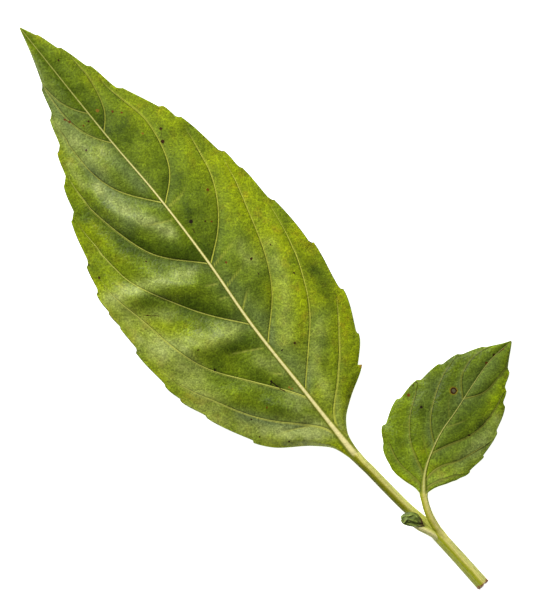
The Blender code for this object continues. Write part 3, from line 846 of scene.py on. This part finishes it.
# A band of a tint has its weight and reach, then the line that it follows. A spot has its place and
# radius, a streak its two ends and radius. Bands across a rib or stalk go from -1 on its left to 1.
LARGE_LOOK = {
    "green": (0.12, 0.17, 0.005),
    # darker green, also used as painted shade
    "deep_and_shade": (0.046, 0.074, 0.002),
    "yellow": (0.218, 0.272, 0.001),
    "ochre": (0.238, 0.236, 0.003),
    # greyish green, also used as painted sheen
    "grey_and_sheen": (0.112, 0.15, 0.048),
    # whitish painted highlight
    "painted_highlight": (0.275, 0.316, 0.088),
    "under": (0.26, 0.33, 0.13),
    "veins": ((0.44, 0.46, 0.08), (0.445, 0.47, 0.055)),
    "thin_rib": (0.23, 0.25, 0.04),
    # The midrib's bands darken towards both its edges: painted shade beside the midrib.
    "rib_bands": (
        (-1.0, (0.09, 0.11, 0.006)), (-0.62, (0.19, 0.21, 0.02)), (-0.42, (0.6, 0.54, 0.21)),
        (0.0, (0.76, 0.68, 0.31)), (0.42, (0.64, 0.58, 0.23)), (0.62, (0.22, 0.24, 0.02)),
        (1.0, (0.12, 0.15, 0.01)),
    ),
    # Partly the stalk's own tones, partly painted light and shade: lighter on the lit right side, darker on
    # the left.
    "stalk_tones_and_light": (
        (-1.0, (0.16, 0.17, 0.01)), (-0.7, (0.11, 0.13, 0.002)), (-0.35, (0.175, 0.18, 0.003)),
        (-0.12, (0.26, 0.25, 0.015)), (0.07, (0.42, 0.39, 0.085)), (0.25, (0.52, 0.48, 0.14)),
        (0.6, (0.52, 0.51, 0.12)), (0.85, (0.54, 0.55, 0.16)), (1.0, (0.4, 0.42, 0.08)),
    ),
    # painted paler, to lift the shade where the stalk sinks into the stem
    "foot": (0.36, 0.37, 0.06),
    "specular": 0.12,
    "rim_yellow": (0.28, 0.34),
    "yellow_bands": (
        (0.45, 2.6, (-9.0, 24.0), (-3.0, 17.0), (2.0, 10.0)),
        (0.75, 2.2, (2.0, 12.0), (2.8, 4.0), (2.4, -4.0)),
        (0.3, 1.8, (-25.5, 37.0), (-20.0, 33.5), (-14.0, 30.0)), (0.45, 2.2, (-31.0, 25.0), (-26.0, 23.5)),
        (0.35, 1.8, (-28.5, 13.5), (-25.5, 13.0)), (0.35, 1.4, (-20.0, -1.0), (-15.5, -1.2)),
        (0.5, 2.6, (-25.0, 2.0), (-18.0, -8.0), (-8.0, -17.5), (0.0, -20.5)),
        (0.4, 2.0, (-19.0, -4.5), (-8.0, -4.0)), (0.35, 1.6, (4.5, 14.0), (6.5, 4.0), (6.0, -4.0)),
        (0.35, 2.6, (5.0, -4.0), (9.0, -12.0)), (0.4, 1.8, (9.5, -12.0), (13.0, -6.0), (12.5, 2.0)),
    ),
    # Bands of greyish green and painted sheen.
    "grey_and_sheen_bands": (
        (0.8, 1.3, (6.5, -19.5), (1.0, -18.5), (-4.0, -17.0)),
        (0.5, 2.0, (-7.0, 4.5), (-1.0, -2.0), (6.0, -11.0)),
        (0.65, 1.8, (-37.0, 37.5), (-30.5, 26.5), (-22.0, 14.0)), (0.65, 1.5, (-24.0, 24.0), (-19.5, 19.5)),
        (0.4, 1.3, (-19.5, 14.5), (-16.0, 12.5)),
    ),
    # Bands of painted highlight, where the light's sheen lies.
    "painted_highlight_bands": (
        (0.35, 1.6, (-12.0, -16.0), (-3.0, -19.2)), (0.75, 1.5, (0.0, -20.0), (9.0, -20.0)),
        (0.35, 2.0, (5.0, -14.0), (8.5, -19.5)), (0.35, 1.2, (-1.0, -8.0), (3.0, -9.5)),
        (0.25, 1.5, (8.5, -1.5), (8.0, -7.0)), (0.42, 1.4, (-16.0, -6.5), (-9.0, -4.8), (-5.0, -3.2)),
        (0.4, 1.8, (-24.0, 0.5), (-19.0, -5.5), (-13.5, -11.0), (-8.0, -15.0)),
        (0.52, 1.2, (-25.0, 1.6), (-19.0, 3.8), (-12.0, 5.6)), (0.3, 1.4, (-30.0, 27.5), (-26.0, 24.5)),
        (0.35, 1.1, (-33.5, 29.0), (-31.0, 26.0)), (0.25, 1.1, (-28.5, 23.5), (-26.0, 21.5)),
        (0.32, 1.8, (-18.5, -5.0), (-14.0, -6.0), (-11.0, -11.0)), (0.3, 1.1, (-20.0, -1.2), (-15.5, -1.2)),
        (0.25, 1.4, (-4.0, 10.0), (-2.0, 7.0)), (0.62, 1.0, (-27.0, 19.5), (-23.0, 16.0), (-15.0, 12.0)),
        (0.35, 0.7, (-31.5, 23.0), (-29.0, 19.5)), (0.3, 1.2, (7.5, -9.5), (11.0, -15.0), (12.5, -20.0)),
        (0.3, 1.2, (0.5, 10.0), (3.0, 3.0), (3.5, -4.0)),
    ),
    # Bands of darker green and painted shade, where the relief turns from the light.
    "deep_and_shade_bands": (
        (0.6, 2.6, (-35.0, 39.5), (-30.0, 33.5), (-24.0, 27.0)), (0.5, 1.8, (-23.5, 31.5), (-22.5, 27.5)),
        (1.0, 2.3, (-28.5, 16.0), (-21.0, 9.6), (-11.0, 7.8)),
        (0.9, 1.9, (-19.0, 0.5), (-11.0, -0.6), (-4.0, -1.6)), (0.75, 1.7, (-7.0, -6.2), (-2.0, -5.2)),
        (0.35, 2.0, (-9.0, -9.5), (2.0, -11.5)), (0.68, 1.4, (-4.0, -14.8), (5.0, -15.5), (8.0, -18.0)),
        (0.45, 2.2, (-15.5, 19.5), (-9.0, 8.5), (-6.5, 3.5)), (0.3, 1.8, (-3.0, 5.5), (-1.5, 1.0)),
        (0.85, 1.2, (3.5, 11.5), (6.5, 7.0), (9.5, 3.2), (11.0, 0.0)),
        (0.6, 1.0, (8.8, -4.5), (9.8, -10.0)), (0.3, 2.0, (-20.0, 35.0), (-13.0, 29.5)),
        (0.3, 1.6, (-16.0, 23.0), (-11.0, 15.0)), (0.3, 1.2, (-10.5, 26.0), (-7.0, 21.0)),
        (0.25, 1.0, (7.5, -15.0), (8.5, -18.5)),
    ),
    "spots": {
        "orange": (
            (-26.82, 31.6, 0.22), (-19.62, 27.92, 0.14), (3.74, -12.56, 0.15), (4.22, -12.8, 0.13),
            (15.3, -9.2, 0.25),
        ),
        "red": (
            (-32.1, 30.16, 0.16), (-31.3, 29.84, 0.18), (-29.06, 29.2, 0.1), (-24.42, 31.44, 0.15),
            (-22.98, 31.28, 0.16), (-8.58, 13.84, 0.13), (-9.22, 18.96, 0.18), (-6.26, 7.36, 0.15),
            (0.22, -15.76, 0.12),
        ),
        "brown": (
            (-33.06, 39.6, 0.14), (-28.26, 29.84, 0.14), (-16.74, 28.72, 0.2), (-16.42, 26.64, 0.26),
            (-28.58, 25.2, 0.16), (-9.62, 13.92, 0.13), (-2.26, 7.92, 0.18), (-1.14, 5.52, 0.12),
            (0.78, 10.16, 0.12), (4.54, 5.68, 0.14), (-19.06, 7.44, 0.11), (4.62, -5.52, 0.15),
            (-10.74, -6.64, 0.11), (-2.26, -17.68, 0.14), (-0.98, -20.48, 0.13), (3.74, -21.2, 0.14),
            (-26.6, 4.94, 0.17),
        ),
        "black": ((-11.86, 13.84, 0.27), (2.62, -6.64, 0.13), (-8.1, -9.76, 0.15)),
    },
    "streaks": {
        "red": (((-31.9, 30.1), (-30.7, 29.4), 0.05),),
        "brown": (
            ((-16.74, 28.72), (-16.42, 26.64), 0.02), ((-19.6, -1.04), (-16.9, -1.2), 0.035),
            ((2.2, -12.7), (3.1, -13.2), 0.05), ((-11.6, 12.7), (-11.3, 12.1), 0.06),
        ),
        "black": (((0.8, -11.55), (1.9, -12.4), 0.09), ((0.95, -11.5), (0.85, -12.1), 0.07)),
    },
    "lesions": (),
}
SMALL_LOOK = {
    "green": (0.1, 0.145, 0.005),
    # darker green, also used as painted shade
    "deep_and_shade": (0.052, 0.08, 0.003),
    "yellow": (0.19, 0.262, 0.002),
    "ochre": (0.185, 0.2, 0.003),
    # greyish green, also used as painted sheen
    "grey_and_sheen": (0.092, 0.126, 0.04),
    # whitish painted highlight
    "painted_highlight": (0.205, 0.248, 0.07),
    "under": (0.24, 0.31, 0.13),
    "veins": ((0.17, 0.185, 0.02), (0.2, 0.21, 0.03)),
    "thin_rib": (0.2, 0.205, 0.04),
    # The midrib's bands darken towards both its edges: painted shade beside the midrib.
    "rib_bands": (
        (-1.0, (0.07, 0.09, 0.006)), (-0.6, (0.16, 0.18, 0.015)), (-0.35, (0.33, 0.33, 0.06)),
        (0.0, (0.44, 0.42, 0.15)), (0.35, (0.33, 0.33, 0.06)), (0.6, (0.16, 0.18, 0.015)),
        (1.0, (0.07, 0.09, 0.006)),
    ),
    # Partly the stalk's own tones, partly painted light and shade: lighter on the lit right side, darker on
    # the left.
    "stalk_tones_and_light": (
        (-1.0, (0.22, 0.24, 0.01)), (-0.6, (0.27, 0.28, 0.015)), (-0.3, (0.4, 0.37, 0.06)),
        (0.0, (0.48, 0.43, 0.11)), (0.3, (0.52, 0.475, 0.145)), (0.55, (0.47, 0.44, 0.115)),
        (0.8, (0.4, 0.4, 0.075)), (1.0, (0.44, 0.46, 0.12)),
    ),
    # painted paler, to lift the shade where the stalk sinks into the stem
    "foot": (0.66, 0.62, 0.17),
    "specular": 0.1,
    "rim_yellow": (0.15, 0.35),
    "yellow_bands": (
        (0.5, 1.2, (35.5, -17.0), (37.8, -13.2)), (0.35, 1.8, (22.0, -20.0), (25.0, -26.0)),
        (0.6, 1.1, (26.0, -21.0), (26.2, -26.0)), (0.12, 1.2, (22.4, -16.0), (24.5, -11.5)),
        (0.5, 1.8, (27.0, -27.0), (31.0, -26.0)), (0.4, 1.6, (33.5, -23.0), (36.5, -18.0)),
    ),
    # Bands of greyish green and painted sheen.
    "grey_and_sheen_bands": (
        (0.35, 1.8, (27.0, -20.0), (31.0, -14.0), (36.0, -9.0)), (0.5, 1.2, (25.0, -14.5), (27.5, -11.5)),
        (0.4, 1.4, (31.0, -24.5), (34.5, -21.0)),
    ),
    # Bands of painted highlight, where the light's sheen lies.
    "painted_highlight_bands": (
        (0.52, 1.3, (34.0, -23.0), (37.0, -18.0)), (0.25, 1.0, (27.0, -27.5), (30.0, -26.5)),
        (0.25, 1.2, (31.0, -26.0), (33.5, -21.5)),
    ),
    # Bands of darker green and painted shade, where the relief turns from the light.
    "deep_and_shade_bands": (
        (0.85, 2.3, (25.5, -15.5), (29.5, -9.5)), (1.0, 1.5, (31.2, -17.8), (34.0, -15.0)),
        (0.3, 1.2, (34.0, -10.0), (37.5, -7.5)),
    ),
    "spots": {
        "red": ((35.26, -8.72, 0.18), (37.98, -6.48, 0.16), (22.86, -13.84, 0.22)),
        "brown": ((32.54, -20.24, 0.13), (36.5, -7.4, 0.18), (24.06, -11.76, 0.12), (23.58, -12.24, 0.13)),
        "black": ((24.86, -15.76, 0.2),),
    },
    "streaks": {
        "brown": (((37.2, -7.1), (38.6, -5.9), 0.03),),
    },
    "lesions": ((30.03, -13.12, 0.54),),
}
TINT_NOISES = ((0.22, 11.0), (0.45, 23.0), (0.7, 17.0))  # waves in a millimetre, and seed
# The yellow at the blade's base is partly its own yellowing and partly painted light over the shade the stalk
# casts there.
FOOT_YELLOWS = (0.04, 0.16)  # stations over which the yellow of the blade's base fades
UNDER_VEINS = (0.450, 0.500, 0.220)
SPOT_COLOURS = {
    "orange": ((0.250, 0.110, 0.015), 0.75),
    "red": ((0.110, 0.028, 0.002), 0.95),
    "brown": ((0.032, 0.012, 0.001), 1.0),
    "black": ((0.012, 0.007, 0.002), 1.0),
}
SPOT_RAGGED = 0.34
LESION_RINGS = (  # colour, and the shares of the radius where it begins and is full
    ((0.190, 0.150, 0.008), 1.5, 1.0),
    ((0.030, 0.011, 0.003), 1.1, 0.9),
    ((0.090, 0.080, 0.035), 0.65, 0.4),
)
STEM_LOOK = {
    # Lighter on the lit side of its ridge, darker olive on the side away from the light: partly the stem's
    # own tones, partly painted light and shade.
    "bands": (
        (-1.0, (0.35, 0.36, 0.085)), (-0.8, (0.45, 0.445, 0.115)), (-0.5, (0.46, 0.44, 0.095)),
        (-0.3, (0.53, 0.485, 0.14)), (-0.12, (0.41, 0.385, 0.07)), (0.08, (0.275, 0.295, 0.009)),
        (0.35, (0.262, 0.285, 0.008)), (0.65, (0.275, 0.305, 0.02)), (1.0, (0.24, 0.26, 0.035)),
    ),
    "cut_rim": (0.21, 0.085, 0.03),
    "cut_pith": (0.48, 0.35, 0.19),
}
SHOOT_LOOK = {
    # Lighter down the middle, darker at both edges: partly the shoot's own tones, partly painted light and
    # shade.
    "bands": (
        (-1.0, (0.34, 0.37, 0.06)), (-0.5, (0.6, 0.57, 0.19)), (0.0, (0.72, 0.67, 0.29)),
        (0.4, (0.62, 0.59, 0.18)), (0.8, (0.38, 0.4, 0.06)), (1.0, (0.28, 0.3, 0.04)),
    ),
    "cut_rim": (0.13, 0.04, 0.018),
    "cut_pith": (0.42, 0.29, 0.17),
}
BUD_LOOK = {
    "green": (0.150, 0.200, 0.026),
    # painted highlight on the tops of the ridges
    "painted_highlight": (0.270, 0.330, 0.070),
    # painted shade in the furrows and in the slit
    "painted_furrow_shade": (0.080, 0.108, 0.014),
    "base": (0.090, 0.026, 0.010),
    "base_reach": 0.26,
}
YOUNG_SPECULAR = 0.25  # of stem, side shoot and folded leaves


class LeafShader(Shader):
    """The material of one leaf, laid on layer by layer."""

    def __init__(self, name, look):
        super().__init__(name)
        self.look = look
        self.flat = self.position(flat=True)
        wavy = self.ragged(self.flat, 0.6, 1.5)
        self.grain = self.noise(self.flat, 3.2, detail=5.0, roughness=0.80)
        self.crinkle = self.noise(wavy, 1.1, roughness=0.6)
        self.cells = self.cell_edges(self.flat, 1.7)
        self.veinlets = self.cell_edges(wavy, 0.75)
        self.rib = self.attribute("rib")
        self.side_gap = self.math("ABSOLUTE", self.rib)
        self.station = self.attribute("station")
        self.tipward = self.attribute("tipward_gap")
        gap = self.math("MINIMUM", self.tipward, self.attribute("basal_gap"))
        self.vein = self.ramp(gap, 0.22, 0.12)

    def blade(self):
        """Soft tints, among them painted shade, sheen and highlight, then the light and dark of grain, cells,
        veinlets and crinkles.
        """
        look = self.look
        aged = self.ramp(self.noise(self.flat, 0.45), 0.50, 0.68)
        yellow = self.mix(aged, look["yellow"], look["ochre"])
        colour = self.mix(self.attribute("deep_and_shade"), look["green"], look["deep_and_shade"])
        for name, tint in (("yellow", yellow), ("grey_and_sheen", look["grey_and_sheen"]), ("painted_highlight", look["painted_highlight"])):
            colour = self.mix(self.attribute(name), colour, tint)
        colour = self.shade(colour, self.spread(self.grain, 0.52, 1.48))
        colour = self.shade(colour, self.ramp(self.cells, 0.0, 0.12, 1.12, 0.98))
        colour = self.shade(colour, self.ramp(self.veinlets, 0.0, 0.09, 1.24, 0.98))
        return self.shade(colour, self.ramp(self.crinkle, 0.35, 0.65, 0.88, 1.12))

    def veins(self, colour):
        """Side veins, with a painted shadow on their tipward side, and fainter towards the leaf's tip."""
        vein_colour = self.mix(self.ramp(self.rib, -1.0, 1.0), *self.look["veins"])
        # painted shadow along the tipward side of each vein
        colour = self.shade(colour, self.ramp(self.tipward, 0.14, 0.50, 0.42, 1.0))
        colour = self.mix(self.times(self.attribute("minor"), 0.62), colour, vein_colour)
        clear = self.times(self.vein, self.ramp(self.station, 0.55, 0.85, 0.95, 0.40))
        return self.mix(clear, colour, vein_colour)

    def spots(self, colour):
        """Small dead specks with ragged edges, one colour at a time, then the ringed lesions."""
        ragged = self.ragged(self.flat, 3.0, SPOT_RAGGED)
        for kind, (tint, opacity) in SPOT_COLOURS.items():
            spots, streaks = (self.look[table].get(kind, ()) for table in ("spots", "streaks"))
            gaps = [(self.distance(ragged, (x, y, 0)), radius) for x, y, radius in spots]
            gaps += [(self.line_distance(ragged, start, end), radius) for start, end, radius in streaks]
            cover = 0.0
            for gap, radius in gaps:
                cover = self.math("MAXIMUM", self.ramp(gap, 1.45 * radius, 0.95 * radius), cover)
            colour = self.mix(self.times(cover, opacity), colour, tint)
        for x, y, radius in self.look["lesions"]:
            gap = self.distance(ragged, (x, y, 0))
            for tint, begins, full in LESION_RINGS:
                colour = self.mix(self.ramp(gap, begins * radius, full * radius), colour, tint)
        return colour

    def margin_and_midrib(self, colour):
        """A lighter margin, and a painted narrow shadow beside the midrib."""
        look = self.look
        colour = self.shade(colour, self.ramp(self.attribute("share"), 0.965, 1.0, 1.0, 1.25))
        # painted shadow just outside the midrib
        colour = self.shade(colour, self.ramp(self.side_gap, 1.0, 1.5, 0.72, 1.0))
        thin = self.ramp(self.station, 0.55, 0.92, 0.0, 0.90)
        midrib = self.mix(thin, self.bands(self.rib, look["rib_bands"]), look["thin_rib"])
        return self.mix(self.ramp(self.side_gap, 1.02, 0.94), colour, midrib)

    def underside(self, colour):
        """The paler lower side, with its raised net of veins lighter still."""
        net = self.ramp(self.cell_edges(self.flat, 0.8), 0.0, 0.12, 1.12, 1.0)
        below = self.shade(self.look["under"], self.times(net, self.spread(self.grain, 0.88, 1.1)))
        veins = self.math("MAXIMUM", self.vein, self.ramp(self.side_gap, 1.5, 1.1))
        return self.mix(self.attribute("under"), colour, self.mix(veins, below, UNDER_VEINS))

    def stalk(self, colour):
        """Bands and fibres along the stalk, and its paler foot, with painted light and shade in both."""
        # Partly the stalk's own tones, partly painted light and shade: lighter on its lit side, darker on the
        # other.
        stalk = self.bands(self.rib, self.look["stalk_tones_and_light"])
        # The foot is painted paler to lift the shade where it sinks into the stem.
        stalk = self.mix(self.ramp(self.station, -0.60, -0.80), stalk, self.look["foot"])
        fibres = self.threads(self.rib, self.station, 0.35, 7.0)
        stalk = self.shade(stalk, self.spread(fibres, 0.80, 1.22))
        return self.mix(self.ramp(self.station, 0.02, -0.03), colour, stalk)


def leaf_material(name, look):
    shader = LeafShader(name, look)
    colour = shader.blade()
    for lay in (shader.veins, shader.spots, shader.margin_and_midrib, shader.underside, shader.stalk):
        colour = lay(colour)
    beside_rib = shader.ramp(shader.rib, 0.0, 2.0, 0.0, 0.25)
    matt = shader.math("ADD", shader.spread(shader.grain, 0.40, 0.48), beside_rib)
    return shader.finish(
        colour,
        matt,
        look["specular"],
        (shader.crinkle, 0.5, 0.26),
        (shader.grain, 0.2, 0.06),
        (shader.cells, 0.3, 0.03),
        (shader.ramp(shader.veinlets, 0.0, 0.20), 0.25, 0.06),
    )


def stalk_material(name, look):
    """Lengthwise bands, partly painted light and shade, and fibres, and a dried brown rim round a paler pith
    where the stalk was cut.
    """
    shader = Shader(name)
    place = shader.position()
    threads = shader.threads(shader.attribute("turn"), shader.attribute("along"), 0.05, 6.0)
    wander = shader.times(shader.math("SUBTRACT", shader.noise(place, 0.7), 0.5), 0.35)
    around = shader.math("ADD", shader.attribute("around"), wander)
    colour = shader.shade(shader.bands(around, look["bands"]), shader.spread(threads, 0.80, 1.20))
    colour = shader.shade(colour, shader.spread(shader.noise(place, 2.5, 4.0), 0.88, 1.12))
    dried = shader.times(shader.ramp(shader.noise(place, 2.2, 4.0), 0.35, 0.65), CUT_DRIED)
    brown = shader.ramp(shader.math("SUBTRACT", shader.attribute("end_gap"), dried), 0.25, 0.08)
    colour = shader.mix(brown, colour, look["cut_rim"])
    pith = shader.mix(shader.ramp(shader.noise(place, 1.8), 0.40, 0.60), look["cut_rim"], look["cut_pith"])
    colour = shader.mix(shader.attribute("cut"), colour, pith)
    pits = shader.noise(place, 3.0, 4.0)
    bumps = ((threads, 0.5, 0.08), (pits, 0.3, 0.05))
    return shader.finish(colour, shader.spread(threads, 0.34, 0.48), YOUNG_SPECULAR, *bumps)


def bud_material(name, look):
    """Green ridges with painted highlight on top, over painted shade in the furrows and the slit, and a brown
    base.
    """
    shader = Shader(name)
    grain = shader.noise(shader.position(), 2.6, 4.0, 0.7)
    ridge = shader.math("ADD", shader.attribute("ridge"), shader.spread(grain, -0.5, 0.5))
    colour = shader.mix(shader.ramp(ridge, -1.0, 0.1), look["painted_furrow_shade"], look["green"])
    colour = shader.mix(shader.ramp(ridge, 0.3, 1.3), colour, look["painted_highlight"])
    # painted shade in the slit between the two halves
    colour = shader.mix(shader.times(shader.attribute("inside"), 0.25), colour, look["painted_furrow_shade"])
    along = shader.math("ADD", shader.attribute("along"), shader.spread(grain, -0.12, 0.12))
    base = shader.ramp(along, look["base_reach"], 0.35 * look["base_reach"], 0.0, 0.85)
    colour = shader.mix(base, colour, look["base"])
    return shader.finish(colour, shader.spread(grain, 0.50, 0.62), YOUNG_SPECULAR, (grain, 0.4, 0.12))


# ================================================================ the stage
# Lens and sensor are in millimetres, angles in degrees, and the rest in metres.
IMAGE_WIDTH = 85.28 * MM  # of the ground that the picture shows
VIEW_CENTRE = (0.144 * MM, 0.16 * MM)
LENS = 300.0
SENSOR = 36.0
CLIP_START = 0.01
WORLD_STRENGTH = 0.24
KEY_AZIMUTH = 34
KEY_ZENITH = 52
KEY_DISTANCE = 1.8
KEY_SIZE = 0.66
KEY_ENERGY = 52.0
FLOOR_REACH = 1.5
FLOOR_GLOW = 0.85


def put(name, data):
    """A new object with this data, in the scene."""
    thing = bpy.data.objects.new(name, data)
    bpy.context.scene.collection.objects.link(thing)
    return thing


def add_piece(node, data, material):
    """The finer surface that takes the place of a node of the frame."""
    piece = put(f"{node}_surface", data)
    data.name = piece.name
    data.materials.append(material)
    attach(piece, "root")
    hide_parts(node)


def make_camera():
    """A long lens straight above the sprig."""
    data = bpy.data.cameras.new("camera")
    data.lens = LENS
    data.sensor_fit = "HORIZONTAL"  # the picture is taller than wide, and this keeps its width exact
    data.sensor_width = SENSOR
    data.clip_start = CLIP_START
    camera = put("camera", data)
    camera.location = (*VIEW_CENTRE, IMAGE_WIDTH * LENS / SENSOR)
    bpy.context.scene.camera = camera


def make_floor():
    data = bpy.data.meshes.new("floor")
    corners = [(x * FLOOR_REACH, y * FLOOR_REACH, 0) for x, y in ((-1, -1), (1, -1), (1, 1), (-1, 1))]
    data.from_pydata(corners, [], [(0, 1, 2, 3)])
    shader = Shader("floor")
    shader.set(Base_Color=(0.90, 0.90, 0.90), Roughness=0.9)
    shader.set(Emission_Color=(1, 1, 1), Emission_Strength=FLOOR_GLOW)
    data.materials.append(shader.material)
    put("floor", data)


def make_world():
    world = bpy.data.worlds.new("studio")
    world.use_nodes = True
    background = world.node_tree.nodes["Background"]
    background.inputs["Color"].default_value = (1, 1, 1, 1)
    background.inputs["Strength"].default_value = WORLD_STRENGTH
    bpy.context.scene.world = world


def make_key():
    """One soft window-like light from beyond the leaf's tip."""
    light = bpy.data.lights.new("key", "AREA")
    light.shape = "DISK"
    light.size = KEY_SIZE
    light.energy = KEY_ENERGY
    key = put("key", light)
    turn, tilt = math.radians(KEY_AZIMUTH), math.radians(KEY_ZENITH)
    towards = Vector((-math.sin(turn) * math.sin(tilt), math.cos(turn) * math.sin(tilt), math.cos(tilt)))
    key.location = towards * KEY_DISTANCE
    key.rotation_euler = towards.to_track_quat("Z", "Y").to_euler()


def main():
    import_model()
    for node, shape, look in (("large_leaf", LARGE, LARGE_LOOK), ("small_leaf", SMALL, SMALL_LOOK)):
        add_piece(node, Leaf(shape).mesh(look), leaf_material(f"{node}_look", look))
    for node, shape, look in (("stem", STEM, STEM_LOOK), ("side_shoot", SHOOT, SHOOT_LOOK)):
        add_piece(node, Stalk(**shape).mesh(), stalk_material(f"{node}_look", look))
    bud_look = bud_material("bud_leaf_look", BUD_LOOK)
    for node, shape in (("bud_leaf_outer", BUD_OUTER), ("bud_leaf_inner", BUD_INNER)):
        add_piece(node, FoldedLeaf(shape).mesh(), bud_look)
    make_floor()
    make_world()
    make_key()
    make_camera()
    bpy.context.scene.view_settings.view_transform = "Standard"


main()
